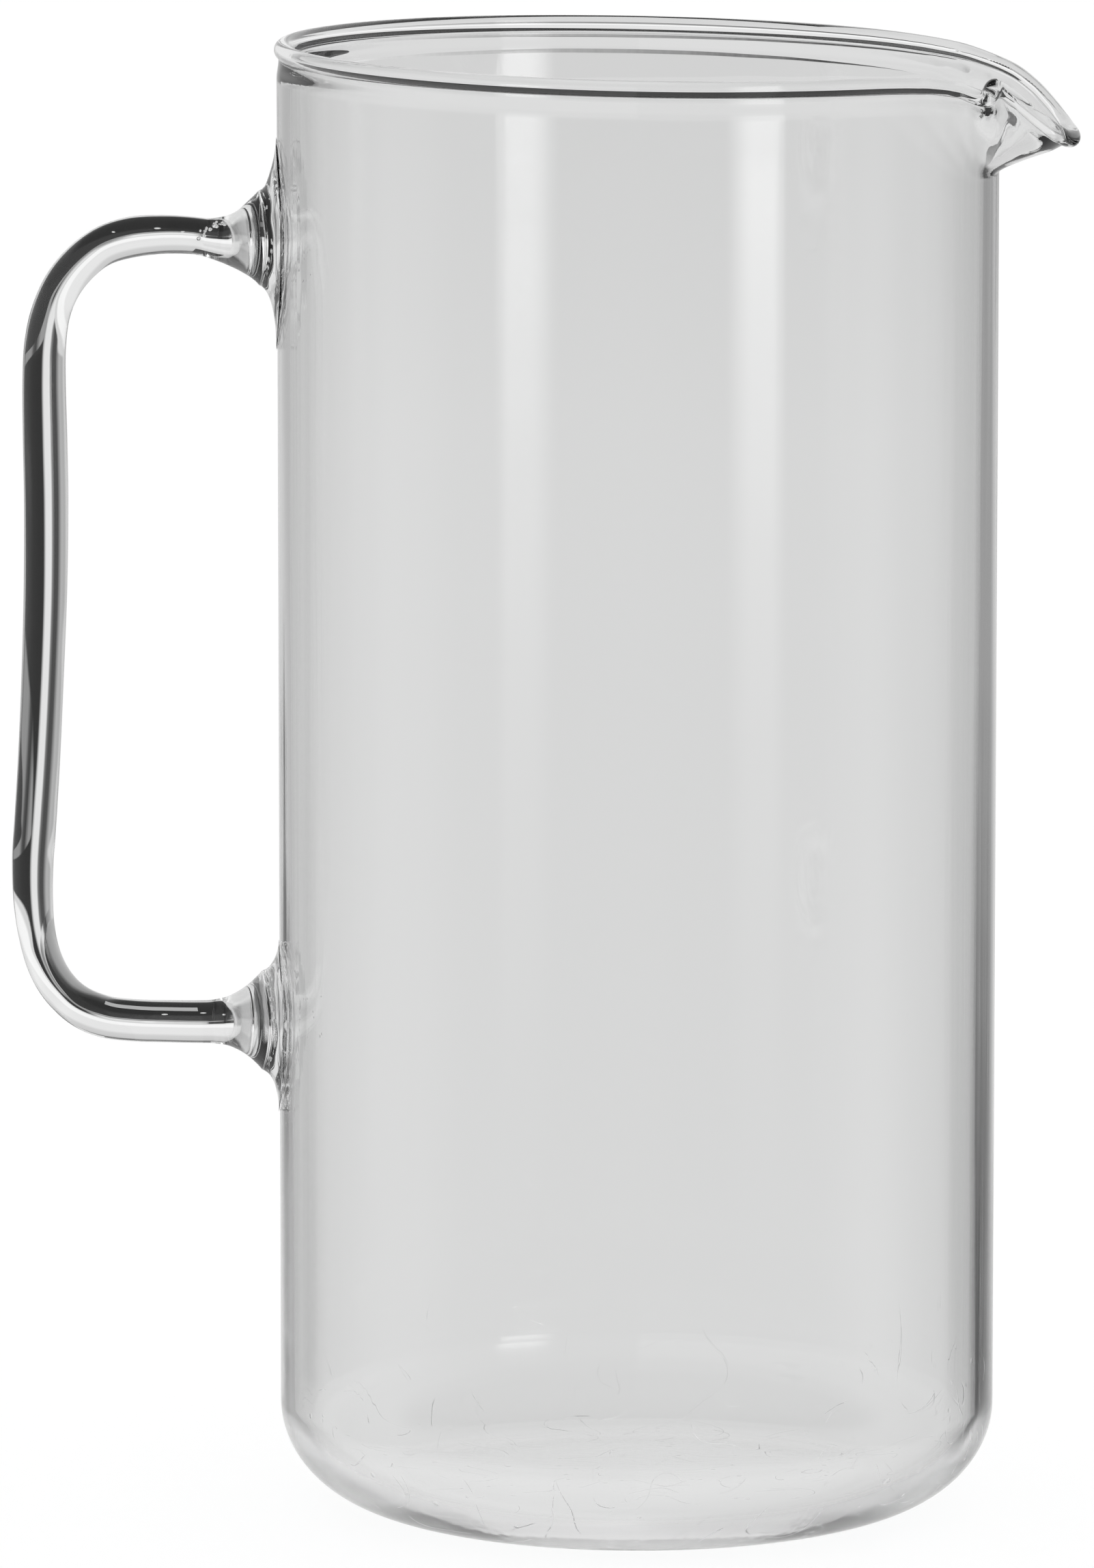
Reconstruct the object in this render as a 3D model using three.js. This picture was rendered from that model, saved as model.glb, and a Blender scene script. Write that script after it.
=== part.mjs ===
// Handled glass jug (a large lipped beaker with a rod handle), millimetres, +Z up.
// The origin is the centre of the flat base. The handle is on -X, the pouring lip on +X.
// The wall, base, fire-polished rim and lip are one piece of blown glass. The handle is a
// solid glass rod, and two gathers of glass join its flared feet to the wall.
import * as THREE from "three";

// ---- driving dimensions -------------------------------------------------------------
const OUTER_R = 50; // outside radius of the body
const WALL = 2.0; // wall thickness
const HEIGHT = 204.5; // rim top above the table, averaged round the mouth
const RIM_TILT = 0.02; // the mouth falls towards the lip, mm per mm
const TILT_BAND = 60; // height below the rim over which the tilt fades out
const BASE_THICK = 2.8;
const HEEL = { outR: 16.8, outZ: 14.6, inR: 15.5, inZ: 12.4 }; // rounded heel, elliptical
const BEAD_R = 1.22; // radius of the fire-polished bead
const BEAD_OUT = 0.16; // how far the bead sits outside the wall's middle surface
const NECK = 0.26; // the wall is this much thinner on each side just under the bead
const LIP_AZ = -9; // azimuth of the pouring lip, degrees
const LIP_DEPTH = 16.2; // the lip starts to leave the wall this far below the rim
const LIP_TAPER = 0.36; // share of the lip's width left at its foot: its creases run together
const PINCH_FADE = 0.55; // share of the lip's height over which the pinch fades out downwards
// The lip at the rim, by angle from its centre: radius of the bead, and how far it drops.
// On its -Y side the rim is pinched before it rises over the lip; the +Y side sweeps in.
const LIP = [
  // degrees, radius, drop
  [0, 60.4, 9.1],
  [3, 60.15, 8.85],
  [6, 59.45, 7.85],
  [9, 57.6, 5.75],
  [12, 54.5, 2.6],
  [15, 53.2, 1.2],
  [19, 53.6, 2.5],
  [24, 51.2, 1.1],
  [31, 49.5, 0.4],
  [42, 49.0, 0.1],
  [60, OUTER_R - WALL / 2, 0],
  [180, OUTER_R - WALL / 2, 0],
];
const LIP_SWEPT = [
  [0, 60.4, 9.1],
  [3, 60.15, 8.95],
  [6, 59.5, 8.5],
  [9, 58.5, 7.4],
  [12, 57.2, 5.85],
  [16, 55.3, 3.75],
  [21, 53.2, 2.0],
  [27, 51.2, 1.0],
  [35, 49.7, 0.3],
  [45, 49.1, 0.1],
  [60, OUTER_R - WALL / 2, 0],
  [180, OUTER_R - WALL / 2, 0],
];

const GAP = 0.3; // gap left between neighbouring pieces
const SEAM_X = -51.9; // the gather's outer face at the handle's plane
const SEAM_CURVE = 0.026; // the seam wraps round the wall: x grows by this times y squared
const FOOT_R = 6.7; // radius of the handle's flared foot at the seam
// Two gathers: height of the centre, and how far the glass is drawn up and down the wall.
const GATHERS = {
  upper_weld: { z: 178.0, up: 14.4, down: 16.2, side: 9.6 },
  lower_weld: { z: 68.1, up: 11.6, down: 13.4, side: 9.2 },
};
// Centre line of the handle rod from the upper foot to the lower foot, in the XZ plane.
const ROD = [
  [SEAM_X - GAP, 178.0], [-55.0, 177.7], [-58.5, 177.9], [-62, 178.35], [-66, 178.45],
  [-70.5, 178.0], [-74.3, 176.7], [-77.4, 174.3], [-79.85, 171.15], [-81.45, 167.3],
  [-82.2, 163], [-82.38, 158.4], [-82.3, 150], [-82.2, 141], [-82.35, 129],
  [-82.8, 117], [-83.4, 105], [-84.0, 96], [-84.38, 90.5], [-84.36, 85.1],
  [-83.9, 80.6], [-82.8, 76.3], [-80.95, 72.9], [-78.15, 70.2], [-74.55, 68.6],
  [-70.35, 68.05], [-65.5, 67.9], [-60.7, 67.85], [-57, 67.95], [SEAM_X - GAP, 68.1],
];
// Radius of the rod along its length, as [distance from the upper foot, radius].
const ROD_R = [
  [0, FOOT_R], [0.9, 5.95], [2.1, 4.95], [3.6, 3.95], [5.6, 3.15], [8.5, 2.6], [13, 2.68],
  [18, 2.84], [24, 2.7], [32, 2.7], [40, 2.95], [54, 3.12], [70, 3.1], [90, 3.02],
  [108, 3.02], [116, 2.85], [124, 2.62], [131, 2.7], [137, 2.98],
];
const ROD_R_END = [
  // the same, measured back from the lower foot
  [0, FOOT_R + 0.35], [0.9, 6.2], [2.1, 5.1], [3.6, 4.1], [5.4, 3.35], [8, 3.0], [18, 2.96],
];

// ---- helpers --------------------------------------------------------------------------
// Smooth curve through [x, value] rows, with the tangents of a monotone cubic.
function smooth(rows, column = 1) {
  const x = rows.map((r) => r[0]), v = rows.map((r) => r[column]), n = x.length;
  const d = x.slice(1).map((_, i) => (v[i + 1] - v[i]) / (x[i + 1] - x[i]));
  const m = v.map((_, i) =>
    i === 0 ? 0 : i === n - 1 ? 0 : d[i - 1] * d[i] <= 0 ? 0 : (2 * d[i - 1] * d[i]) / (d[i - 1] + d[i]));
  return (q) => {
    if (q <= x[0]) return v[0];
    if (q >= x[n - 1]) return v[n - 1];
    let i = 0;
    while (q > x[i + 1]) i++;
    const h = x[i + 1] - x[i], t = (q - x[i]) / h, a = t * t, b = a * t;
    return (2 * b - 3 * a + 1) * v[i] + (b - 2 * a + t) * h * m[i] +
      (3 * a - 2 * b) * v[i + 1] + (b - a) * h * m[i + 1];
  };
}
const clamp = (v, lo, hi) => Math.min(hi, Math.max(lo, v));

// Glass is clear: a pale neutral tint, glossy and slightly see-through.
const glass = (color) =>
  new THREE.MeshStandardMaterial({ color, roughness: 0.05, metalness: 0, transparent: true, opacity: 0.45 });

function named(name, geometry, color) {
  geometry.computeVertexNormals();
  const mesh = new THREE.Mesh(geometry, glass(color));
  mesh.name = name;
  return mesh;
}

// A closed lathe in its own frame (axis along the second coordinate), each vertex then
// placed by place(radius, height, angle, ring, column) in the part's frame.
function latheMapped(profile, angles, place) {
  const columns = angles.length, rows = profile.length;
  const points = profile.map(([r, h]) => new THREE.Vector2(r, h));
  const g = new THREE.LatheGeometry(points, columns);
  g.deleteAttribute("normal");
  g.deleteAttribute("uv");
  const p = g.getAttribute("position");
  for (let i = 0; i <= columns; i++)
    for (let j = 0; j < rows; j++) {
      const [r, h] = profile[j], a = angles[i % columns];
      const v = place(r < 1e-9 ? 0 : r, h, r < 1e-9 ? 0 : a, j, i % columns);
      p.setXYZ(i * rows + j, v.x, v.y, v.z);
    }
  return g;
}

// ---- vessel ---------------------------------------------------------------------------
const MID_R = OUTER_R - WALL / 2;
const RIM_Z = HEIGHT - BEAD_R; // height of the bead's centre before tilt and lip
const lipRadius = [smooth(LIP, 1), smooth(LIP_SWEPT, 1)];
const lipDrop = [smooth(LIP, 2), smooth(LIP_SWEPT, 2)];

// Middle surface of the wall at an azimuth and a height of the plain cylinder.
function wallMiddle(az, z) {
  let off = THREE.MathUtils.radToDeg(az) - LIP_AZ;
  if (off > 180) off -= 360;
  if (off < -180) off += 360;
  const side = off < 0 ? 0 : 1;
  const t = (z - (HEIGHT - LIP_DEPTH)) / (RIM_Z - (HEIGHT - LIP_DEPTH));
  const e = t <= 0 ? 0 : t < 1 ? (1.15 * t * t) / (t + 0.15) : 1 + (t - 1) * 1.13;
  off = Math.abs(off) / (LIP_TAPER + (1 - LIP_TAPER) * Math.pow(clamp(t, 0, 1), 0.8));
  // Below the rim the pinched side settles into the same sweep as the other side.
  const pinch = side ? 1 : Math.pow(clamp((t - 1 + PINCH_FADE) / PINCH_FADE, 0, 1), 1.5);
  const blend = (f) => f[side](off) * pinch + f[1](off) * (1 - pinch);
  const r = MID_R + (blend(lipRadius) - MID_R) * e;
  const x = r * Math.cos(az);
  const tilt = RIM_TILT * clamp((z - (HEIGHT - TILT_BAND)) / TILT_BAND, 0, 1);
  return new THREE.Vector3(x, r * Math.sin(az), z - blend(lipDrop) * e - tilt * x);
}

function wallPoint(az, z, offset) {
  const h = 0.02, k = 0.0008;
  const c = wallMiddle(az, z);
  const up = wallMiddle(az, z + h).sub(wallMiddle(az, z - h));
  const round = wallMiddle(az + k, z).sub(wallMiddle(az - k, z));
  return c.addScaledVector(round.cross(up).normalize(), offset);
}

// Profile of the wall in [radius, height]; the rim rows are bent by wallPoint.
const profile = [[0, 0], [17, 0], [OUTER_R - HEEL.outR, 0]];
for (let i = 1; i <= 7; i++) {
  const a = (i / 7) * (Math.PI / 2);
  profile.push([OUTER_R - HEEL.outR + HEEL.outR * Math.sin(a), HEEL.outZ * (1 - Math.cos(a))]);
}
const LIP_ROWS = [0, 0.1, 0.25, 0.48, 0.75];
const rowZ = (t) => HEIGHT - LIP_DEPTH + t * (RIM_Z - (HEIGHT - LIP_DEPTH));
for (const z of [80, HEIGHT - TILT_BAND, 168]) profile.push([OUTER_R, z]);
for (const t of LIP_ROWS) profile.push([OUTER_R, rowZ(t)]);
profile.push([OUTER_R - NECK, rowZ(0.9)]);
// The bead: a round tube on the wall's end, from its outer foot over the top to the inner.
const BEAD_FOOT = -60; // degrees below level where the bead leaves the neck
for (let i = 0; i <= 8; i++) {
  const a = THREE.MathUtils.degToRad(BEAD_FOOT + (i / 8) * (180 - 2 * BEAD_FOOT));
  profile.push([MID_R + BEAD_OUT * (1 - i / 16) + BEAD_R * Math.cos(a), RIM_Z + BEAD_R * Math.sin(a)]);
}
profile.push([OUTER_R - WALL + NECK, rowZ(0.9)]);
for (const t of [...LIP_ROWS].reverse()) profile.push([OUTER_R - WALL, rowZ(t)]);
for (const z of [168, HEIGHT - TILT_BAND]) profile.push([OUTER_R - WALL, z]);
for (let i = 5; i >= 0; i--) {
  const a = (i / 5) * (Math.PI / 2);
  profile.push([
    OUTER_R - WALL - HEEL.inR + HEEL.inR * Math.sin(a),
    BASE_THICK + HEEL.inZ * (1 - Math.cos(a)),
  ]);
}
profile.push([0, BASE_THICK]);

// Columns: 3 degrees apart over the lip, wider elsewhere.
const columns = [];
for (let i = -11; i < 11; i++) columns.push(LIP_AZ + 3 * i);
for (let i = 0; i < 52; i++) columns.push(LIP_AZ + 33 + (294 / 52) * i);
const azimuths = columns.map((d) => {
  const a = THREE.MathUtils.degToRad(d);
  return a > Math.PI ? a - 2 * Math.PI : a;
});

const vessel = named(
  "vessel",
  latheMapped(profile, azimuths, (r, z, az) =>
    z < HEIGHT - TILT_BAND
      ? new THREE.Vector3(r * Math.cos(az), r * Math.sin(az), z)
      : wallPoint(az, z, r - MID_R)),
  0xe6eaea,
);

// ---- handle ---------------------------------------------------------------------------
const rodCurve = new THREE.CatmullRomCurve3(
  ROD.map(([x, z]) => new THREE.Vector3(x, 0, z)), false, "centripetal");
const rodLength = rodCurve.getLength();
const fromTop = smooth(ROD_R), fromFoot = smooth(ROD_R_END);
const rodRadius = (s) => (s > rodLength - 16 ? fromFoot(rodLength - s) : fromTop(s));
const stations = [0, 0.9, 2.1, 3.6, 5.6, 8.5, 12];
for (let s = 16; s < rodLength - 14; s += 4.2) stations.push(s);
for (const s of [12, 8, 5.4, 3.6, 2.1, 0.9, 0]) stations.push(rodLength - s);
const ROD_SIDES = 16;
const rodAngles = [...Array(ROD_SIDES).keys()].map((i) => (i / ROD_SIDES) * 2 * Math.PI);
const rodProfile = [[0, 0], [FOOT_R * 0.52, 0]];
for (const s of stations) rodProfile.push([rodRadius(s), s]);
rodProfile.push([fromFoot(0) * 0.52, rodLength], [0, rodLength]);

// The lathe's axis follows the rod's centre line, and both feet wrap round the wall.
const handle = named(
  "handle",
  latheMapped(rodProfile, rodAngles, (r, s, a) => {
    const u = clamp(s / rodLength, 0, 1);
    const c = rodCurve.getPointAt(u), t = rodCurve.getTangentAt(u);
    const end = Math.min(s, rodLength - s);
    const foot = clamp(1 - end / 5, 0, 1);
    const side = new THREE.Vector3(-t.z, 0, t.x);
    const flat = new THREE.Vector3(0, 0, side.z >= 0 ? 1 : -1);
    side.lerp(flat, foot).normalize();
    const v = c.addScaledVector(side, r * Math.cos(a));
    v.y -= r * Math.sin(a);
    v.x += SEAM_CURVE * v.y * v.y * foot;
    return v;
  }),
  0xdfe3e3,
);

// ---- gathers --------------------------------------------------------------------------
// Each gather's back wraps the wall, its front meets the handle's foot, and its flare is
// drawn out to a thin edge, longer up and down than round the wall.
function gather({ z: zc, up, down, side }, footR) {
  // [share of the way from the seam ring to the edge, share of the thickness, on the back]
  const rows = [
    [0, 0, 0], [0.5, 0, 0], [1, 0, 0], // front face: centre, half way, seam ring
    [1, 1, 0.14], [1, 2, 0.34], [1, 3, 0.62], [1, 4, 1], // flare out to the edge
    [1, 5, 1], [0.62, 5, 0.6], [0.3, 5, 0.3], [0, 5, 0], // back face from the edge to the centre
  ];
  const backR = OUTER_R + GAP;
  const edge = 0.22; // thickness left at the edge
  const lift = [1, 0.62, 0.36, 0.15, 0];
  const profile = rows.map(([q, kind, w], j) => [
    j === 0 || j === rows.length - 1 ? 0 : kind === 5 ? 20 * Math.max(q, 0.01) : kind === 0 ? 6 * q : 7 + w,
    kind === 5 ? 0 : 3 - 0.4 * kind,
  ]);
  const angles = [...Array(20).keys()].map((i) => (i / 20) * 2 * Math.PI);
  return latheMapped(profile, angles, (_r, _h, a, j) => {
    const [q, kind, w] = rows[j];
    const c = Math.cos(a), s = Math.sin(a);
    const tall = c >= 0 ? up : down;
    const reach = 1 / Math.hypot(s / side, c / tall); // edge of the drawn-out glass
    let rho;
    if (kind === 0) rho = footR * q;
    else if (kind === 5) rho = reach * q;
    else rho = footR + (reach - footR) * w;
    const y = -rho * s, z = zc + rho * c;
    const yc = clamp(y, -backR + 1, backR - 1);
    const back = -Math.sqrt(backR * backR - yc * yc);
    let x = back;
    if (kind < 5) {
      const yf = Math.min(Math.abs(y), footR * Math.abs(s));
      const front = SEAM_X + SEAM_CURVE * yf * yf;
      const yb = footR * Math.abs(s);
      const backRing = -Math.sqrt(backR * backR - yb * yb);
      const thick = (kind === 0 ? back : backRing) - front;
      x = kind === 0 ? front : back - edge - (thick - edge) * lift[kind];
    }
    return new THREE.Vector3(x, y, z);
  });
}

const part = new THREE.Group();
part.add(vessel, handle);
for (const [name, dims] of Object.entries(GATHERS))
  part.add(named(name, gather(dims, name === "upper_weld" ? FOOT_R : FOOT_R + 0.35), 0xd9dede));

export default part;
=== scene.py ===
import bpy
import math
import numpy as np
from mathutils import Matrix, Vector


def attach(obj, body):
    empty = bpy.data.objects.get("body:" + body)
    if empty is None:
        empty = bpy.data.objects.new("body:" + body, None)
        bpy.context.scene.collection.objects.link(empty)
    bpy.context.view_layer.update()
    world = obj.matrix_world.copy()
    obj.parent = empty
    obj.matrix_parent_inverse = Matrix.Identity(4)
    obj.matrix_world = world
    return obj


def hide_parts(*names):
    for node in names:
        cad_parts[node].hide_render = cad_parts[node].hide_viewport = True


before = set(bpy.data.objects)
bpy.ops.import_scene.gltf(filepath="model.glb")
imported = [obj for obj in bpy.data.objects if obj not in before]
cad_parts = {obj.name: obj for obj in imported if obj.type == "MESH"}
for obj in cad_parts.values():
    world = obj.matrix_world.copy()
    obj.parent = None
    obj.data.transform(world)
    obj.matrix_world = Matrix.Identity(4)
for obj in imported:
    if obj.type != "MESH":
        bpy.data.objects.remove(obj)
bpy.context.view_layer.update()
MM = 0.001

# ---------------------------------------------------------------- camera
# 1.7 m in front of the jug, looking down by about nine degrees.
scene = bpy.context.scene
cam_data = bpy.data.cameras.new("camera")
cam = bpy.data.objects.new("camera", cam_data)
scene.collection.objects.link(cam)
scene.camera = cam
FOCAL_PX, PX, PY = 18063.3, 802.736, 1164.576
PITCH, YAW = 0.15209, -0.00731
cam_data.sensor_width = 36.0
cam_data.sensor_fit = "AUTO"
cam_data.lens = FOCAL_PX * 36.0 / 2296.0
cam_data.shift_x = (801.0 - PX) / 2296.0
cam_data.shift_y = (PY - 1148.0) / 2296.0
cam_data.clip_start, cam_data.clip_end = 0.05, 60.0
fwd = Vector((math.sin(YAW) * math.cos(PITCH), math.cos(YAW) * math.cos(PITCH), -math.sin(PITCH)))
right = Vector((math.cos(YAW), -math.sin(YAW), 0.0))
up = right.cross(fwd)
cam.matrix_world = Matrix((
    (right.x, up.x, -fwd.x, 0.0),
    (right.y, up.y, -fwd.y, -1.7),
    (right.z, up.z, -fwd.z, 0.360494),
    (0.0, 0.0, 0.0, 1.0)))

# ---------------------------------------------------------------- dimensions, as in the CAD part (mm)
OUTER_R, WALL, HEIGHT = 50.0, 2.0, 204.5
RIM_TILT, TILT_BAND = 0.02, 60.0
BASE_THICK = 2.8
HEEL = dict(outR=16.8, outZ=14.6, inR=15.5, inZ=12.4)
BEAD_R, BEAD_OUT, NECK = 1.22, 0.16, 0.26
LIP_AZ, LIP_DEPTH = -9.0, 16.2
MID_R = OUTER_R - WALL / 2
RIM_Z = HEIGHT - BEAD_R
LIP = np.array([
    [0, 60.4, 9.1], [3, 60.15, 8.85], [6, 59.45, 7.85], [9, 57.6, 5.75], [12, 54.5, 2.6],
    [15, 53.2, 1.2], [19, 53.6, 2.5], [24, 51.2, 1.1], [31, 49.5, 0.4], [42, 49.0, 0.1],
    [60, MID_R, 0], [180, MID_R, 0]], float)
LIP_TAPER, PINCH_FADE = 0.36, 0.55
LIP_SWEPT = np.array([
    [0, 60.4, 9.1], [3, 60.15, 8.95], [6, 59.5, 8.5], [9, 58.5, 7.4], [12, 57.2, 5.85], [16, 55.3, 3.75],
    [21, 53.2, 2.0], [27, 51.2, 1.0], [35, 49.7, 0.3], [45, 49.1, 0.1], [60, MID_R, 0], [180, MID_R, 0]], float)
SEAM_X, SEAM_CURVE, FOOT_R = -51.9, 0.026, 6.7
ROD = np.array([
    [-52.2, 178.0], [-55.0, 177.7], [-58.5, 177.9], [-62, 178.35], [-66, 178.45],
    [-70.5, 178.0], [-74.3, 176.7], [-77.4, 174.3], [-79.85, 171.15], [-81.45, 167.3],
    [-82.2, 163], [-82.38, 158.4], [-82.3, 150], [-82.2, 141], [-82.35, 129],
    [-82.8, 117], [-83.4, 105], [-84.0, 96], [-84.38, 90.5], [-84.36, 85.1],
    [-83.9, 80.6], [-82.8, 76.3], [-80.95, 72.9], [-78.15, 70.2], [-74.55, 68.6],
    [-70.35, 68.05], [-65.5, 67.9], [-60.7, 67.85], [-57, 67.95], [-52.2, 68.1]], float)
ROD_R = np.array([
    [0, FOOT_R], [0.9, 5.95], [2.1, 4.95], [3.6, 3.95], [5.6, 3.15], [8.5, 2.6], [13, 2.68],
    [18, 2.84], [24, 2.7], [32, 2.7], [40, 2.95], [54, 3.12], [70, 3.1], [90, 3.02],
    [108, 3.02], [116, 2.85], [124, 2.62], [131, 2.7], [137, 2.98]], float)
ROD_R_END = np.array([
    [0, FOOT_R + 0.35], [0.9, 6.2], [2.1, 5.1], [3.6, 4.1], [5.4, 3.35], [8, 3.0], [18, 2.96]], float)
GATHERS = {
    "upper_weld": dict(z=178.0, up=14.4, down=16.2, side=9.6, foot=FOOT_R, bubbles=10),
    "lower_weld": dict(z=68.1, up=11.6, down=13.4, side=9.2, foot=FOOT_R + 0.35, bubbles=34),
}


def smooth(rows, column=1):
    """Monotone cubic through [x, value] rows, the same curve as the CAD part's."""
    x, v = rows[:, 0], rows[:, column]
    d = np.diff(v) / np.diff(x)
    m = np.zeros(len(x))
    a, b = d[:-1], d[1:]
    ok = a * b > 0
    m[1:-1][ok] = (2 * a * b)[ok] / (a + b)[ok]

    def f(q):
        q = np.clip(np.asarray(q, float), x[0], x[-1])
        i = np.clip(np.searchsorted(x, q, side="right") - 1, 0, len(x) - 2)
        h = x[i + 1] - x[i]
        t = (q - x[i]) / h
        t2, t3 = t * t, t * t * t
        return ((2 * t3 - 3 * t2 + 1) * v[i] + (t3 - 2 * t2 + t) * h * m[i]
                + (3 * t2 - 2 * t3) * v[i + 1] + (t3 - t2) * h * m[i + 1])
    return f


lip_radius, lip_drop = smooth(LIP, 1), smooth(LIP, 2)
swept_radius, swept_drop = smooth(LIP_SWEPT, 1), smooth(LIP_SWEPT, 2)


def wall_middle(az, z):
    off = np.degrees((az - math.radians(LIP_AZ) + math.pi) % (2 * math.pi) - math.pi)
    t = (z - (HEIGHT - LIP_DEPTH)) / (RIM_Z - (HEIGHT - LIP_DEPTH))
    tc = np.clip(t, 0, 1)
    e = np.where(t <= 0, 0, np.where(t < 1, 1.15 * tc * tc / (tc + 0.15), 1 + (t - 1) * 1.13))
    spread = np.abs(off) / (LIP_TAPER + (1 - LIP_TAPER) * tc ** 0.8)
    pinch = np.where(off < 0, np.clip((tc - 1 + PINCH_FADE) / PINCH_FADE, 0, 1) ** 1.5, 0)
    r = MID_R + (lip_radius(spread) * pinch + swept_radius(spread) * (1 - pinch) - MID_R) * e
    drop = lip_drop(spread) * pinch + swept_drop(spread) * (1 - pinch)
    x = r * np.cos(az)
    tilt = RIM_TILT * np.clip((z - (HEIGHT - TILT_BAND)) / TILT_BAND, 0, 1)
    return np.stack([x, r * np.sin(az), z - drop * e - tilt * x], -1)


def wall_point(az, z, offset):
    h, k = 0.02, 0.0008
    c = wall_middle(az, z)
    u = wall_middle(az, z + h) - wall_middle(az, z - h)
    w = wall_middle(az + k, z) - wall_middle(az - k, z)
    n = np.cross(w, u)
    n /= np.linalg.norm(n, axis=-1, keepdims=True)
    return c + n * np.asarray(offset)[..., None]


def waves(seed, az, z, count, k_az, k_z):
    """A smooth sum of sines round and up the wall, about -1 to 1, periodic in azimuth."""
    rng = np.random.default_rng(seed)
    out = np.zeros(np.broadcast(az, z).shape)
    for _ in range(count):
        m = rng.integers(k_az[0], k_az[1] + 1)
        f = rng.uniform(*k_z)
        out = out + np.sin(m * az + f * z + rng.uniform(0, 6.283)) * rng.uniform(0.5, 1.0)
    return out / (0.55 * count ** 0.5 + 0.3 * count) * 0.9


def new_mesh(name, verts_mm, faces, smooth_shade=True):
    me = bpy.data.meshes.new(name)
    me.from_pydata((np.asarray(verts_mm) * MM).tolist(), [], faces)
    me.validate(clean_customdata=False)
    me.update()
    me.polygons.foreach_set("use_smooth", [smooth_shade] * len(me.polygons))
    ob = bpy.data.objects.new(name, me)
    scene.collection.objects.link(ob)
    return ob


def grid_body(name, rings, poles=True):
    """Rings of points (rows x columns x 3), closed round, with a pole at each end."""
    rows, cols = rings.shape[:2]
    verts = rings.reshape(-1, 3).tolist()
    faces = []
    for j in range(rows - 1):
        for i in range(cols):
            k = (i + 1) % cols
            faces.append((j * cols + i, j * cols + k, (j + 1) * cols + k, (j + 1) * cols + i))
    if poles:
        a, b = len(verts), len(verts) + 1
        verts.append(rings[0].mean(0).tolist())
        verts.append(rings[-1].mean(0).tolist())
        for i in range(cols):
            k = (i + 1) % cols
            faces.append((a, k, i))
            faces.append((b, (rows - 1) * cols + i, (rows - 1) * cols + k))
    return verts, faces


def add_bubbles(verts, faces, bubbles, seg=10, rings=7):
    """Small air bubbles inside the glass: closed cavities whose faces look into the bubble."""
    for c, r, stretch in bubbles:
        base = len(verts)
        c, stretch = np.array(c, float), np.array(stretch, float)
        for j in range(1, rings):
            t = math.pi * j / rings
            for i in range(seg):
                p = 2 * math.pi * i / seg
                d = np.array([math.sin(t) * math.cos(p), math.sin(t) * math.sin(p), math.cos(t)])
                verts.append((c + r * stretch * d).tolist())
        top, bot = len(verts), len(verts) + 1
        verts.append((c + r * stretch * np.array([0, 0, 1.0])).tolist())
        verts.append((c - r * stretch * np.array([0, 0, 1.0])).tolist())
        for j in range(rings - 2):
            for i in range(seg):
                k = (i + 1) % seg
                a, b = base + j * seg + i, base + j * seg + k
                faces.append((a, b, b + seg, a + seg))
        last = base + (rings - 2) * seg
        for i in range(seg):
            k = (i + 1) % seg
            faces.append((top, base + k, base + i))
            faces.append((bot, last + i, last + k))


# ---------------------------------------------------------------- vessel
COLS = 288
u = np.arange(COLS) / COLS
dens = 1.0 + 1.6 * np.exp(-((((u - 0.5) * 360) / 38.0) ** 4))
cumd = np.concatenate([[0], np.cumsum(dens)])
az_cols = math.radians(LIP_AZ) - math.pi + 2 * math.pi * np.interp(
    np.linspace(0, cumd[-1], COLS, endpoint=False), cumd, np.arange(COLS + 1) / COLS)

rows = []  # (mode, r or offset, z): mode 0 plain cylinder coordinates, 1 through wall_point
for r in (5.0, 12.0, 20.0, 27.0, 31.0):
    rows.append((0, r, 0.0))
N_HEEL = 26
for i in range(N_HEEL + 1):
    a = i / N_HEEL * math.pi / 2
    rows.append((0, OUTER_R - HEEL["outR"] + HEEL["outR"] * math.sin(a), HEEL["outZ"] * (1 - math.cos(a))))
z_low = np.linspace(HEEL["outZ"], HEIGHT - TILT_BAND, 28)[1:]
for z in z_low:
    rows.append((0, OUTER_R, z))
z_high = np.concatenate([np.linspace(HEIGHT - TILT_BAND, HEIGHT - LIP_DEPTH - 1, 20)[1:],
                         np.linspace(HEIGHT - LIP_DEPTH - 1, 200.0, 25)[1:],
                         np.linspace(200.0, RIM_Z - BEAD_R * 0.9, 12)[1:]])


def neck(z):
    t = min(max((z - 199.4) / 2.4, 0.0), 1.0)
    return NECK * t * t * (3 - 2 * t)


for z in z_high:
    rows.append((1, WALL / 2 - neck(z), z))
N_BEAD = 32
for i in range(N_BEAD + 1):
    a = math.radians(-60 + i / N_BEAD * 300)
    rows.append((1, BEAD_OUT * (1 - i / (2 * N_BEAD)) + BEAD_R * math.cos(a) * 0.985, RIM_Z + BEAD_R * math.sin(a) * 0.985))
for z in z_high[::-1]:
    rows.append((2, -WALL / 2 + neck(z), z))
for z in z_low[::-1]:
    rows.append((3, OUTER_R - WALL, z))
N_IN = 24
for i in range(N_IN, -1, -1):
    a = i / N_IN * math.pi / 2
    rows.append((3, OUTER_R - WALL - HEEL["inR"] + HEEL["inR"] * math.sin(a),
                 BASE_THICK + HEEL["inZ"] * (1 - math.cos(a))))
for r in (29.0, 22.0, 14.0, 6.0):
    rows.append((3, r, BASE_THICK))

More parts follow.
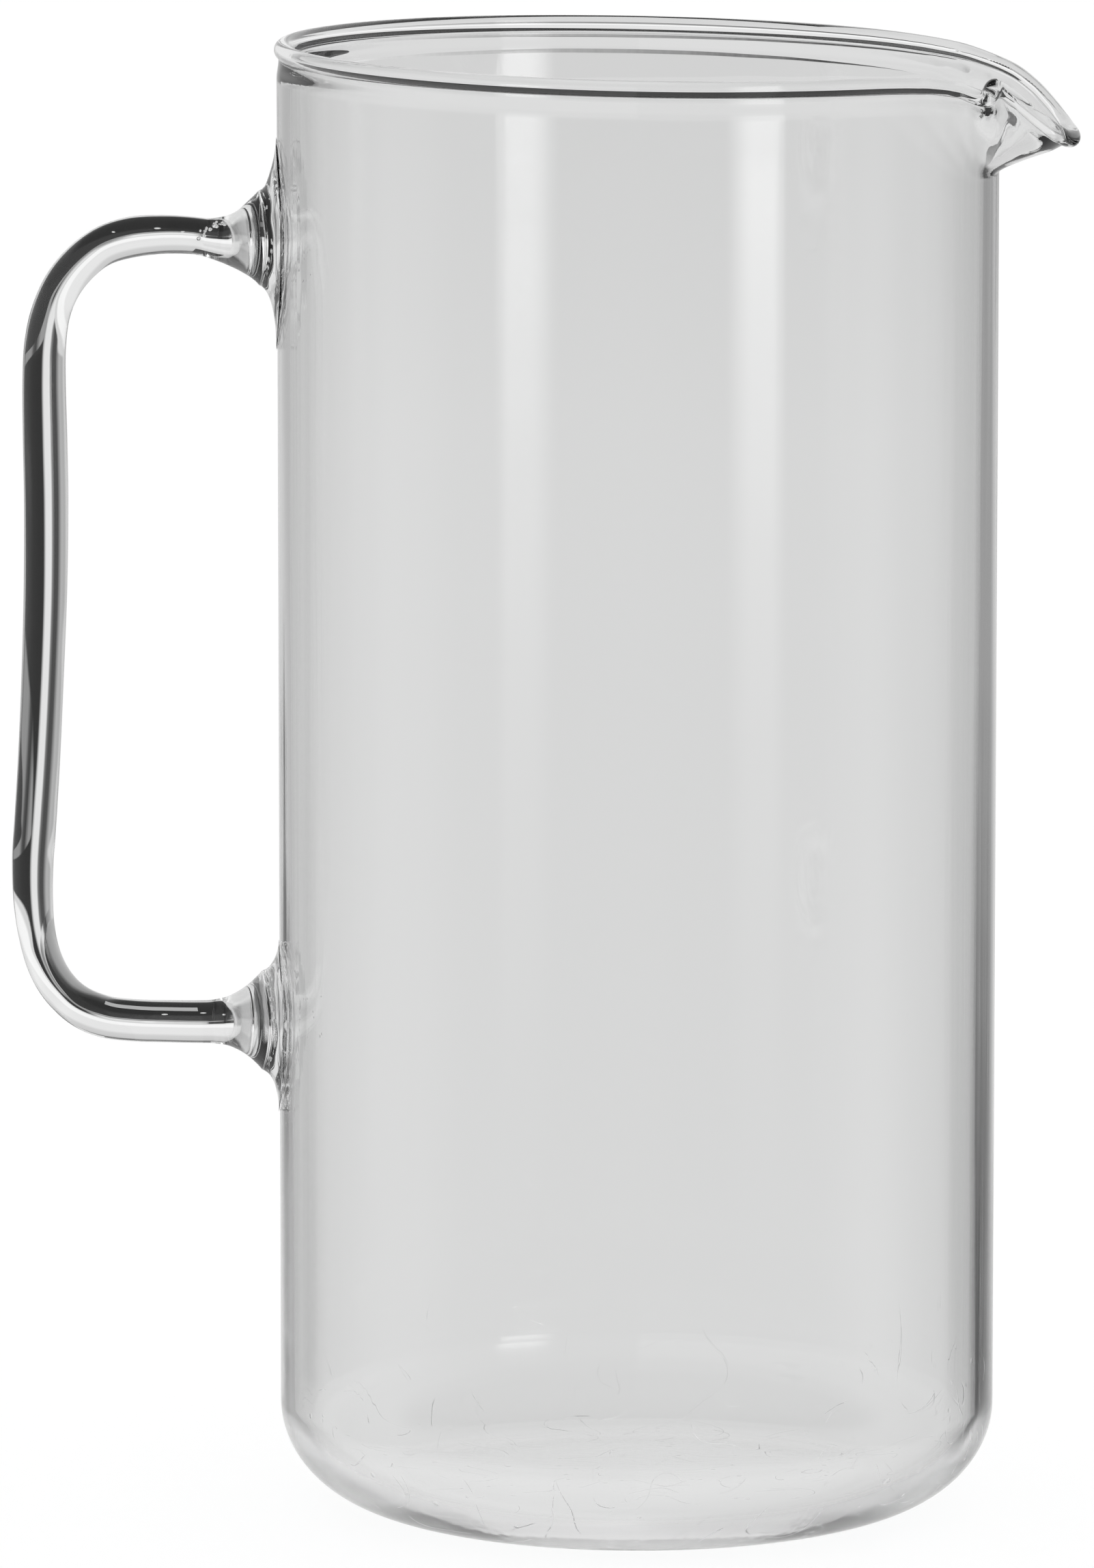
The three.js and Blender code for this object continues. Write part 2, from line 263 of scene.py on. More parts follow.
rings = np.zeros((len(rows), COLS, 3))
for j, (mode, q, z) in enumerate(rows):
    zz = np.full(COLS, float(z))
    # hand-blown unevenness: the inside wanders by about a tenth of a millimetre, the outside far less
    if mode in (2, 3):
        grow = np.clip((z - BASE_THICK) / 12.0, 0, 1) * np.clip((HEIGHT - 2.5 - z) / 8.0, 0, 1)
        wob = 0.085 * waves(11, az_cols, zz, 9, (2, 9), (-0.035, 0.035)) * grow
        wob += 0.03 * waves(12, az_cols, zz, 10, (9, 30), (-0.012, 0.012)) * grow
    else:
        grow = np.clip((z - 6.0) / 12.0, 0, 1) * np.clip((HEIGHT - 4 - z) / 8.0, 0, 1)
        wob = (-0.02 + 0.018 * waves(21, az_cols, zz, 8, (3, 14), (-0.02, 0.02))) * grow
    if mode in (0, 3) and z < HEIGHT - TILT_BAND + 1e-6:
        r = q + wob
        rings[j] = np.stack([r * np.cos(az_cols), r * np.sin(az_cols), zz], -1)
    else:
        off = q + wob if mode == 2 else (q - MID_R + wob if mode in (0, 3) else q + wob)
        rings[j] = wall_point(az_cols, zz, off)
verts, faces = grid_body("vessel", rings)
# seeds and small cords drawn out in the wall beside the two fused patches
rng = np.random.default_rng(77)
for zc, lean, count in ((176.6, 0.0, 15), (69.6, 0.32, 26)):
    marks = []
    for _ in range(count):
        a = rng.uniform(180.0, 209.0)
        up_by = rng.uniform(-3.2, 3.6) + lean * (a - 190.0) * 0.55
        r = rng.uniform(0.05, 0.11)
        t = math.radians(a)
        rad = MID_R + rng.uniform(-0.55, 0.55)
        marks.append(((rad * math.cos(t), rad * math.sin(t), zc + up_by), r, (0.9, 1.7, rng.uniform(1.0, 2.2))))
    add_bubbles(verts, faces, marks, seg=8, rings=6)
vessel = new_mesh("jug_vessel", verts, faces)
# a round bead stands a little proud of a faceted one: keep it inside the part's own box
for v in vessel.data.vertices:
    v.co.x *= 0.9994
    v.co.y *= 0.9980

# ---------------------------------------------------------------- handle
def catmull(points, per=24):
    """Centripetal Catmull-Rom through the points, sampled finely."""
    p = np.vstack([2 * points[0] - points[1], points, 2 * points[-1] - points[-2]])
    out = []
    for i in range(1, len(p) - 2):
        p0, p1, p2, p3 = p[i - 1], p[i], p[i + 1], p[i + 2]
        d0, d1, d2 = (np.linalg.norm(p1 - p0) ** 0.5, np.linalg.norm(p2 - p1) ** 0.5, np.linalg.norm(p3 - p2) ** 0.5)
        t1 = ((p1 - p0) / d0 - (p2 - p0) / (d0 + d1) + (p2 - p1) / d1) * d1
        t2 = ((p2 - p1) / d1 - (p3 - p1) / (d1 + d2) + (p3 - p2) / d2) * d1
        t = np.linspace(0, 1, per, endpoint=False)[:, None]
        out.append((2 * t**3 - 3 * t**2 + 1) * p1 + (t**3 - 2 * t**2 + t) * t1
                   + (3 * t**2 - 2 * t**3) * p2 + (t**3 - t**2) * t2)
    out.append(points[-1:])
    return np.vstack(out)


line = catmull(ROD)
seg = np.linalg.norm(np.diff(line, axis=0), axis=1)
arc = np.concatenate([[0], np.cumsum(seg)])
ROD_LEN = arc[-1]
top_r, end_r = smooth(ROD_R), smooth(ROD_R_END)


def rod_radius(s):
    return np.where(s > ROD_LEN - 16, end_r(ROD_LEN - s), top_r(s))


GAP = 0.04  # hair gap between fused pieces, closed optically by the interface material
stations = np.concatenate([np.linspace(0, 8, 25)[:-1], np.linspace(8, ROD_LEN - 8, 190),
                           np.linspace(ROD_LEN - 8, ROD_LEN, 25)[1:]])
SIDES = 48
angs = np.arange(SIDES) / SIDES * 2 * math.pi


def rod_ring(s, radius):
    cx, cz = np.interp(s, arc, line[:, 0]), np.interp(s, arc, line[:, 1])
    h = 0.4
    tx = np.interp(min(s + h, ROD_LEN), arc, line[:, 0]) - np.interp(max(s - h, 0), arc, line[:, 0])
    tz = np.interp(min(s + h, ROD_LEN), arc, line[:, 1]) - np.interp(max(s - h, 0), arc, line[:, 1])
    t = np.array([tx, tz]) / math.hypot(tx, tz)
    side = np.array([-t[1], 0.0, t[0]])
    foot = min(max(1 - min(s, ROD_LEN - s) / 5, 0), 1)
    flat = np.array([0, 0, 1.0 if side[2] >= 0 else -1.0])
    side = side * (1 - foot) + flat * foot
    side /= np.linalg.norm(side)
    # hand-drawn rod: it is never quite round
    wander = 1 + (1 - foot) * (0.012 * np.sin(2 * angs + 0.05 * s) + 0.006 * np.sin(3 * angs - 0.11 * s + 1.3)
                               - 0.012)
    r = radius * wander
    p = np.zeros((SIDES, 3))
    p[:, 0] = cx + side[0] * r * np.cos(angs)
    p[:, 1] = -r * np.sin(angs)
    p[:, 2] = cz + side[2] * r * np.cos(angs)
    y = p[:, 1]
    p[:, 0] += SEAM_CURVE * y * y * foot
    return p


hr = []
for f in (0.33, 0.66):
    hr.append(rod_ring(0, float(rod_radius(0)) * f))
for s in stations:
    hr.append(rod_ring(s, float(rod_radius(s))))
for f in (0.66, 0.33):
    hr.append(rod_ring(ROD_LEN, float(rod_radius(ROD_LEN)) * f))
hr = np.array(hr)
verts, faces = grid_body("handle", hr)
n_rows = len(hr)
n_skin = len(faces)
rng = np.random.default_rng(31)
seeds = []   # seed bubbles trapped where the rod was worked into the upper foot, and a few below
for _ in range(20):
    x = rng.uniform(-60.9, -57.0)
    seeds.append(((x, rng.uniform(-1.9, -0.2), 178.35 + 0.42 * (x + 61) + rng.uniform(-0.55, 0.45)),
                  rng.uniform(0.10, 0.27), (rng.uniform(1.0, 1.7), 1.0, 1.0)))
for x, y, z, r, k in ((-72.5, -1.0, 178.7, 0.09, 3.0), (-66.5, -1.2, 179.3, 0.10, 5.0), (-63.0, -1.4, 178.9, 0.09, 4.0),
                      (-60.6, -1.5, 69.2, 0.08, 6.0), (-57.6, -1.6, 69.0, 0.10, 2.5), (-66.0, -1.1, 68.9, 0.08, 6.0)):
    seeds.append(((x, y, z), r, (k, 1.0, 1.0)))
add_bubbles(verts, faces, seeds)
cap_faces = set()
for idx in range(n_skin):
    j = idx // SIDES
    if idx >= (n_rows - 1) * SIDES or j < 2 or j >= n_rows - 3:
        cap_faces.add(idx)
handle = new_mesh("jug_handle", verts, faces)

# ---------------------------------------------------------------- gathers
FUSED = 0.97  # the drawn-out glass ends this share of the way to the gather's nominal edge


def gather(name, g, seed):
    rng = np.random.default_rng(seed)
    n = 96
    a = np.arange(n) / n * 2 * math.pi
    c, s = np.cos(a), np.sin(a)
    tall = np.where(c >= 0, g["up"], g["down"])
    reach = 1 / np.hypot(s / g["side"], c / tall)
    reach = reach * FUSED
    wavy = 1 + 0.16 * np.sin(5 * a + rng.uniform(0, 6)) + 0.10 * np.sin(11 * a + rng.uniform(0, 6))
    foot = g["foot"]
    back_r = OUTER_R + GAP
    edge = 0.05
    out = []

    def back_x(y):
        return -np.sqrt(back_r**2 - y**2)

    def ring(rho, x_fn):
        y, z = -rho * s, g["z"] + rho * c
        return np.stack([x_fn(y), y, z], -1)

    def front_x(y):
        return SEAM_X - (0.3 - GAP) + SEAM_CURVE * y * y

    for q in (0.25, 0.5, 0.75, 1.0):
        out.append(ring(foot * q * np.ones(n), front_x))
    front_rows = len(out)
    thick0 = back_x(foot * np.abs(s)) - (SEAM_X - (0.3 - GAP) + SEAM_CURVE * (foot * s) ** 2)
    M = 18
    for i in range(1, M + 1):
        w = i / M
        rho = foot + (reach - foot) * (0.30 * w + 0.70 * w * w)
        lift = (1 - w) ** (1.65 * (1 + (wavy - 1) * math.sin(math.pi * w)))
        y, z = -rho * s, g["z"] + rho * c
        x = back_x(y) - edge - (thick0 - edge) * lift
        out.append(np.stack([x, y, z], -1))
    side_rows = len(out)
    for q in (0.985, 0.8, 0.6, 0.4, 0.2):
        out.append(ring(reach * q, back_x))
    out = np.array(out)
    verts, faces = grid_body(name, out)
    inner = set()
    n_skin = len(faces)
    trapped = []   # air drawn into the seam
    for _ in range(g["bubbles"]):
        t = rng.uniform(-1.35, 1.35)
        ring_r = rng.uniform(4.6, 6.6)
        y, z = -ring_r * math.cos(t), g["z"] + ring_r * math.sin(t)
        x = -math.sqrt(OUTER_R**2 - y * y) - rng.uniform(0.45, 0.95)
        trapped.append(((x, y, z), rng.uniform(0.09, 0.2), (1.0, 1.0, rng.uniform(1.2, 3.4))))
    add_bubbles(verts, faces, trapped, seg=8, rings=6)
    for idx in range(n_skin):
        j = idx // n
        if idx >= (len(out) - 1) * n or j < front_rows - 1 or j >= side_rows - 1:
            inner.add(idx)
    return verts, faces, inner


pieces = {}
for name, seed in (("upper_weld", 5), ("lower_weld", 9)):
    v, f, inner = gather(name, GATHERS[name], seed)
    ob = new_mesh("jug_" + name, v, f)
    pieces[name] = (ob, inner)

# ---------------------------------------------------------------- materials
def nodes_of(mat):
    mat.use_nodes = True
    nt = mat.node_tree
    nt.nodes.clear()
    return nt


class Graph:
    """Short names for building one node tree."""

    def __init__(self, nt):
        self.nt, self.N, self.L = nt, nt.nodes, nt.links

    def put(self, sock, v):
        if isinstance(v, (int, float)):
            sock.default_value = v
        else:
            self.L.new(v, sock)

    def math(self, op, a, b=None, c=None):
        n = self.N.new("ShaderNodeMath")
        n.operation = op
        for i, v in enumerate((a, b, c)):
            if v is not None:
                self.put(n.inputs[i], v)
        return n.outputs[0]

    def step(self, v, lo, hi, a=0.0, b=1.0):
        n = self.N.new("ShaderNodeMapRange")
        n.clamp = True
        for key, q in (("From Min", lo), ("From Max", hi), ("To Min", a), ("To Max", b)):
            n.inputs[key].default_value = q
        self.L.new(v, n.inputs["Value"])
        return n.outputs["Result"]

    def band(self, v, lo, hi, soft):
        """1 between lo and hi, fading over soft."""
        return self.math("MULTIPLY", self.step(v, lo - soft, lo), self.step(v, hi, hi + soft, 1.0, 0.0))

    def noise(self, vec, scale, detail=1.0):
        n = self.N.new("ShaderNodeTexNoise")
        n.inputs["Scale"].default_value = scale
        n.inputs["Detail"].default_value = detail
        self.L.new(vec, n.inputs["Vector"])
        return n.outputs["Fac"]


def glass_material(name, color, bump, kind):
    """Clear borosilicate glass: drawing lines and faint waviness in the bump, sharp gloss."""
    mat = bpy.data.materials.new(name)
    nt = nodes_of(mat)
    g = Graph(nt)
    N, L = g.N, g.L
    out = N.new("ShaderNodeOutputMaterial")
    p = N.new("ShaderNodeBsdfPrincipled")
    p.inputs["Base Color"].default_value = (*color, 1)
    p.inputs["Roughness"].default_value = 0.0
    p.inputs["IOR"].default_value = 1.474
    p.inputs["Transmission Weight"].default_value = 1.0
    tc = N.new("ShaderNodeTexCoord")
    mp = N.new("ShaderNodeMapping")
    mp.inputs["Scale"].default_value = (1.0, 1.0, 0.03)
    L.new(tc.outputs["Object"], mp.inputs["Vector"])
    sp = N.new("ShaderNodeSeparateXYZ")
    L.new(tc.outputs["Object"], sp.inputs[0])
    x = g.math("MULTIPLY", sp.outputs["X"], 1000.0)   # millimetres
    y = g.math("MULTIPLY", sp.outputs["Y"], 1000.0)
    z = g.math("MULTIPLY", sp.outputs["Z"], 1000.0)
    height = g.math("MULTIPLY_ADD", g.noise(mp.outputs["Vector"], 420.0, 2.0), 0.35,
                    g.noise(tc.outputs["Object"], 45.0, 1.0))
    bp = N.new("ShaderNodeBump")
    bp.inputs["Strength"].default_value = bump
    bp.inputs["Distance"].default_value = 0.0002
    L.new(height, bp.inputs["Height"])
    normal = bp.outputs["Normal"]
    if kind == "vessel":
        # hair scratches and specks round the foot and floor, from use
        low = g.step(z, 9.0, 26.0, 1.0, 0.0)
        hair = g.math("MULTIPLY", g.step(g.math("ABSOLUTE", g.math("SUBTRACT", g.noise(tc.outputs["Object"], 85.0, 0.0), 0.5)),
                                         0.0, 0.003, 1.0, 0.0), low)
        hair = g.math("MULTIPLY", hair, g.step(g.noise(tc.outputs["Object"], 190.0, 0.0), 0.5, 0.6))
        vor = N.new("ShaderNodeTexVoronoi")
        vor.inputs["Scale"].default_value = 210.0
        L.new(tc.outputs["Object"], vor.inputs["Vector"])
        speck = g.math("MULTIPLY", g.step(vor.outputs["Distance"], 0.03, 0.09, 1.0, 0.0), low)
        b2 = N.new("ShaderNodeBump")
        b2.inputs["Strength"].default_value = 0.35
        b2.inputs["Distance"].default_value = 0.0001
        L.new(g.math("ADD", hair, speck), b2.inputs["Height"])
        L.new(normal, b2.inputs["Normal"])
        normal = b2.outputs["Normal"]
    L.new(normal, p.inputs["Normal"])
    surf = p.outputs["BSDF"]
    if kind in ("rod", "weld"):
        # painted shade at the fused seam: a dark ring painted into the glass colour in the rod's foot and two hair-thin
        # ones in the gather, standing in for the dark bands refraction draws there
        seam = g.math("SUBTRACT", g.math("MULTIPLY_ADD", g.math("MULTIPLY", y, y), SEAM_CURVE, SEAM_X - 0.3), x)
        rag = g.math("MULTIPLY_ADD", g.noise(tc.outputs["Object"], 260.0, 2.0), 0.7, -0.35)
        seam = g.math("ADD", seam, rag)
        if kind == "rod":
            ring = g.band(seam, 0.75, 1.45, 0.10)
        else:
            ring = g.math("MAXIMUM", g.band(seam, -1.75, -1.6, 0.06), g.band(seam, -2.35, -2.25, 0.05))
        # painted shade: the band mask mixes the clear glass colour towards near-black
        seam_painted_shade = N.new("ShaderNodeMix")
        seam_painted_shade.data_type = "RGBA"
        L.new(g.math("MULTIPLY", ring, 0.93 if kind == "rod" else 0.6), seam_painted_shade.inputs["Factor"])
        seam_painted_shade.inputs["A"].default_value = (*color, 1)
        seam_painted_shade.inputs["B"].default_value = (0.05, 0.052, 0.052, 1)
        L.new(seam_painted_shade.outputs["Result"], p.inputs["Base Color"])
    if kind == "vessel":
        # where a gather is fused on, the wall has no outer skin of its own
        patch = None
        for w in GATHERS.values():
            dz = g.math("SUBTRACT", z, w["z"])
            tall = g.step(dz, -0.01, 0.01, 1.0 / w["down"] ** 2, 1.0 / w["up"] ** 2)
            q = g.math("ADD", g.math("MULTIPLY", g.math("MULTIPLY", dz, dz), tall),
                       g.math("MULTIPLY", g.math("MULTIPLY", y, y), 1.0 / w["side"] ** 2))
            inside = g.math("LESS_THAN", q, (FUSED - 0.012) ** 2)
            patch = inside if patch is None else g.math("MAXIMUM", patch, inside)
        rad = g.math("SQRT", g.math("ADD", g.math("MULTIPLY", x, x), g.math("MULTIPLY", y, y)))
        patch = g.math("MULTIPLY", patch, g.math("MULTIPLY", g.math("GREATER_THAN", rad, OUTER_R - 0.6),
                                                 g.math("LESS_THAN", x, 0.0)))
        gone = N.new("ShaderNodeBsdfTransparent")
        gone.inputs["Color"].default_value = (1, 1, 1, 1)
        cut = N.new("ShaderNodeMixShader")
        L.new(patch, cut.inputs[0])
        L.new(surf, cut.inputs[1])
        L.new(gone.outputs[0], cut.inputs[2])
        surf = cut.outputs[0]
    # shadows on the table stay light, as they are under clear glass, and light that has been
    # turned many times inside the thick heel is let out instead of being lost
    clear = N.new("ShaderNodeBsdfTransparent")
    clear.inputs["Color"].default_value = (0.985, 0.986, 0.986, 1)
    lp = N.new("ShaderNodeLightPath")
    sh = N.new("ShaderNodeMixShader")
    spread = g.math("MAXIMUM", lp.outputs["Is Shadow Ray"], lp.outputs["Is Diffuse Ray"])
    deep = g.math("MULTIPLY", g.math("GREATER_THAN", lp.outputs["Ray Depth"], 6.5), g.step(z, 24.0, 62.0, 0.86, 0.0))
    L.new(g.math("MAXIMUM", spread, deep), sh.inputs[0])
    L.new(surf, sh.inputs[1])
    L.new(clear.outputs[0], sh.inputs[2])
    L.new(sh.outputs[0], out.inputs["Surface"])
    return mat


def fused_material():
    """The face where two pieces of glass are fused: light passes straight on."""
    mat = bpy.data.materials.new("fused_face")
    nt = nodes_of(mat)
    out = nt.nodes.new("ShaderNodeOutputMaterial")
    t = nt.nodes.new("ShaderNodeBsdfTransparent")
    t.inputs["Color"].default_value = (1, 1, 1, 1)
    nt.links.new(t.outputs[0], out.inputs["Surface"])
    return mat


vessel_glass = glass_material("vessel_glass_look", (0.986, 0.988, 0.987), 0.10, "vessel")
rod_glass = glass_material("rod_glass_look", (0.986, 0.988, 0.987), 0.12, "rod")
weld_glass = glass_material("weld_glass_look", (0.984, 0.987, 0.986), 0.30, "weld")
fused = fused_material()

vessel.data.materials.append(vessel_glass)
handle.data.materials.append(rod_glass)
handle.data.materials.append(fused)
for i in cap_faces:
    handle.data.polygons[i].material_index = 1
for name, (ob, inner) in pieces.items():
    ob.data.materials.append(weld_glass)
    ob.data.materials.append(fused)
    for i in inner:
        ob.data.polygons[i].material_index = 1

# ---------------------------------------------------------------- table and studio
bm_n = 96
fl_verts, fl_faces = [(0, 0, 0)], []
radii = [0.05, 0.1, 0.2, 0.4, 0.8, 1.6, 3.2, 6.4, 12.8]
for r in radii:
    for i in range(bm_n):
        t = 2 * math.pi * i / bm_n
        fl_verts.append((r * math.cos(t), r * math.sin(t), 0.0))
for i in range(bm_n):
    fl_faces.append((0, 1 + i, 1 + (i + 1) % bm_n))
for j in range(len(radii) - 1):
    for i in range(bm_n):
        k = (i + 1) % bm_n
        a = 1 + j * bm_n
        fl_faces.append((a + i, a + bm_n + i, a + bm_n + k, a + k))
fm = bpy.data.meshes.new("table")
fm.from_pydata([(x, y, z - 0.0002) for x, y, z in fl_verts], [], fl_faces)
table = bpy.data.objects.new("table", fm)
scene.collection.objects.link(table)
tm = bpy.data.materials.new("table_white")
nt = nodes_of(tm)
o = nt.nodes.new("ShaderNodeOutputMaterial")
d = nt.nodes.new("ShaderNodeBsdfDiffuse")
d.inputs["Color"].default_value = (0.93, 0.93, 0.93, 1)
nt.links.new(d.outputs[0], o.inputs["Surface"])
fm.materials.append(tm)
# the table lies under the jug but the glass looks out on the studio behind it
table.visible_transmission = False
table.visible_glossy = False

# Cards round the glass, as used to draw its edges: they show only in light that has passed
# through one piece of glass.
def card_material(name, value):
    mat = bpy.data.materials.new(name)
    nt = nodes_of(mat)
    g = Graph(nt)
    co = g.N.new("ShaderNodeOutputMaterial")
    cd = g.N.new("ShaderNodeEmission")
    cd.inputs["Color"].default_value = (1, 1, 1, 1)
    cd.inputs["Strength"].default_value = value
    ct = g.N.new("ShaderNodeBsdfTransparent")
    cl = g.N.new("ShaderNodeLightPath")
    cm = g.N.new("ShaderNodeMixShader")
    g.L.new(g.math("MULTIPLY", g.math("LESS_THAN", cl.outputs["Transmission Depth"], 3.5),
                   g.math("LESS_THAN", cl.outputs["Glossy Depth"], 0.5)), cm.inputs[0])
    g.L.new(ct.outputs[0], cm.inputs[1])
    g.L.new(cd.outputs[0], cm.inputs[2])
    g.L.new(cm.outputs[0], co.inputs["Surface"])
    return mat


black_mat = card_material("card_black", 0.02)
grey_mat = card_material("card_grey", 0.45)
white_mat = card_material("card_white", 0.72)


def card(name, corners, mat):
    ob = new_mesh(name, corners, [(0, 1, 2, 3)], False)
    ob.data.materials.append(mat)
    ob.visible_camera = ob.visible_diffuse = ob.visible_glossy = ob.visible_shadow = False
    return ob


card("card_white_behind_rim", [(-50, 63, 190), (66, 63, 190), (66, 112, 190), (-50, 112, 190)], white_mat)
card("card_white_behind_lip", [(24, 63, 120), (230, 63, 120), (230, 63, 190), (24, 63, 190)], white_mat)
card("card_white_under_lip", [(52, -20, 150), (170, -20, 150), (170, 270, 150), (52, 270, 150)], white_mat)
card("card_grey_under_lower_arm", [(-78, 15, 58), (-62, 15, 58), (-62, 20, 58), (-78, 20, 58)], grey_mat)
card("card_over_rim", [(-58, 64, 208), (64, 64, 208), (64, 64, 420), (-58, 64, 420)], black_mat)

world = bpy.data.worlds.new("studio")
scene.world = world
world.use_nodes = True
nt = world.node_tree
nt.nodes.clear()
N, L = nt.nodes, nt.links
wout = N.new("ShaderNodeOutputWorld")
tc = N.new("ShaderNodeTexCoord")
sep = N.new("ShaderNodeSeparateXYZ")
L.new(tc.outputs["Generated"], sep.inputs[0])


def math_node(op, a, b=None, c=None):
    n = N.new("ShaderNodeMath")
    n.operation = op
    for i, v in enumerate((a, b, c)):
        if v is None:
            continue
        if isinstance(v, (int, float)):
            n.inputs[i].default_value = v
        else:
            L.new(v, n.inputs[i])
    return n.outputs[0]


az_n = math_node("ARCTAN2", sep.outputs["X"], sep.outputs["Y"])      # 0 behind the jug, + to the right
az01 = math_node("MULTIPLY_ADD", az_n, 0.5 / math.pi, 0.5)
el_n = math_node("ARCSINE", sep.outputs["Z"])
el01 = math_node("MULTIPLY_ADD", el_n, 1.0 / math.pi, 0.5)


def ramp(fac, stops, interp="EASE"):
    n = N.new("ShaderNodeValToRGB")
    n.color_ramp.interpolation = interp
    cr = n.color_ramp
    while len(cr.elements) > 1:
        cr.elements.remove(cr.elements[-1])
    first = True
    for pos, v in stops:
        if first:
            e = cr.elements[0]
            e.position = pos
            first = False
        else:
            e = cr.elements.new(pos)
        e.color = (v, v, v, 1)
    L.new(fac, n.inputs[0])
    return n.outputs[0]


def azs(stops, interp="LINEAR"):
    return ramp(az01, [((a + 180) / 360, v) for a, v in stops], interp)


def els(stops, interp="LINEAR"):
    return ramp(el01, [((e + 90) / 180, v) for e, v in stops], interp)


def mixv(fac, a, b):
    n = N.new("ShaderNodeMix")
    n.data_type = "FLOAT"
    for key, v in (("Factor", fac), ("A", a), ("B", b)):
        if isinstance(v, (int, float)):
            n.inputs[key].default_value = v
        else:
            L.new(v, n.inputs[key])
    return n.outputs["Result"]


az_d = math_node("MULTIPLY", az_n, 180 / math.pi)
el_d = math_node("MULTIPLY", el_n, 180 / math.pi)


def gate(v, lo, hi):
    """0 below lo, 1 above hi."""
    n = N.new("ShaderNodeMapRange")
    n.clamp = True
    n.inputs["From Min"].default_value = lo
    n.inputs["From Max"].default_value = hi
    L.new(v, n.inputs["Value"])
    return n.outputs["Result"]


def rest(v):
    return math_node("SUBTRACT", 1.0, v)


# The studio seen through one thickness of glass: a white sweep with a black flag to the right
# and a dark strip to the left, which is what draws the rod and the bead.
rod_az = azs([(-180, .35), (-95, .70), (-60, .70), (-47, .42), (-35, .45), (-28, .20), (-25, .06), (-18, .06),
              (-13.5, .20), (-11.5, .82), (-2.5, .80), (-0.5, .45), (1.5, .018), (60, .018), (70, .5), (180, .35)])
rod_low_az = azs([(-180, .35), (-95, .70), (-60, .70), (-47, .42), (-39, .30), (-31, .22), (-27, .03), (-24, .10),
                  (-21, .07), (-16, .62), (-12, .78), (-9, .50), (-6, .30), (-3, .25), (2, .30), (7, .30), (10, .18),
                  (14, .03), (19, .06), (23, .20), (26, .26), (45, .26), (60, .02), (70, .5), (180, .35)])
rod_az = mixv(math_node("MULTIPLY", rest(gate(el_d, -9.3, -9.1)), gate(el_d, -10.9, -10.7)), rod_az, rod_low_az)
mid_az = azs([(-180, .35), (-95, .70), (-12, .68), (12, .68), (60, .70), (110, .72), (180, .40)])
one = mixv(gate(el_d, -6.1, -5.7), rod_az, mid_az)
# below, it is dark to the right and straight ahead and light to the left
dark_down = azs([(-180, .40), (-95, .60), (-50, .42), (-24, .30), (-16, .06), (-10, .02), (70, .02), (95, .60), (120, .70),
                 (180, .40)])
one = mixv(gate(el_d, -11.6, -10.8), dark_down, one)
# straight down it is the pale table again
one = mixv(gate(el_d, -72.0, -62.0), 0.84, one)
up_el = els([(-6, .97), (0.3, .97), (1.5, .80), (15, .80), (22, .62), (38, .58), (45, .06), (90, .04)])
one = mixv(gate(el_d, -4.9, -4.2), one, up_el)
# Through both walls, and in every reflection: an even pale grey that falls off to the sides.
hi_az = azs([(-180, .32), (-150, .32), (-120, .45), (-95, .70), (-60, .60), (-28, .52), (-20, .54), (-18, .62),
             (-14, .70), (-12, .73), (-8, .79), (-3, .83), (3, .82), (6, .77), (8, .71), (12, .68), (14, .62),
             (18, .52), (20, .43), (24, .32), (28, .36), (40, .40), (60, .45), (100, .50), (118, .30), (130, .30),
             (180, .32)])
lo_az = azs([(-180, .32), (-150, .32), (-120, .45), (-95, .70), (-60, .60), (-28, .50), (-24, .46), (-20, .56),
             (-18, .63), (-14, .70), (-12, .74), (-8, .81), (-3, .84), (3, .84), (6, .80), (8, .76), (12, .66),
             (14, .48), (18, .38), (20, .26), (23, .12), (27, .05), (33, .02), (37, .25), (60, .40), (100, .50),
             (118, .30), (130, .30), (180, .32)])
bot_az = azs([(-180, .95), (-130, 1.0), (-60, .95), (-45, .74), (-15, .70), (-6, .74), (-1, .74), (6, .68), (40, .60),
              (90, .70), (180, .95)])
two = mixv(gate(el_d, -10.8, -8.2), lo_az, hi_az)
tone = els([(-14, .90), (-10, .91), (-7.2, .92), (-6, .88), (-5, .86), (-2, .92)])
two = math_node("MULTIPLY", two, tone)
two = mixv(gate(el_d, -30.0, -22.0), bot_az, two)
sky_el = els([(-2, .80), (17, .80), (21, .64), (38, .62), (45, .12), (90, .10)])
two = mixv(gate(el_d, -3.0, 0.0), two, math_node("MULTIPLY", sky_el, mixv(gate(az_d, 60.0, 120.0), 1.0, .5)))
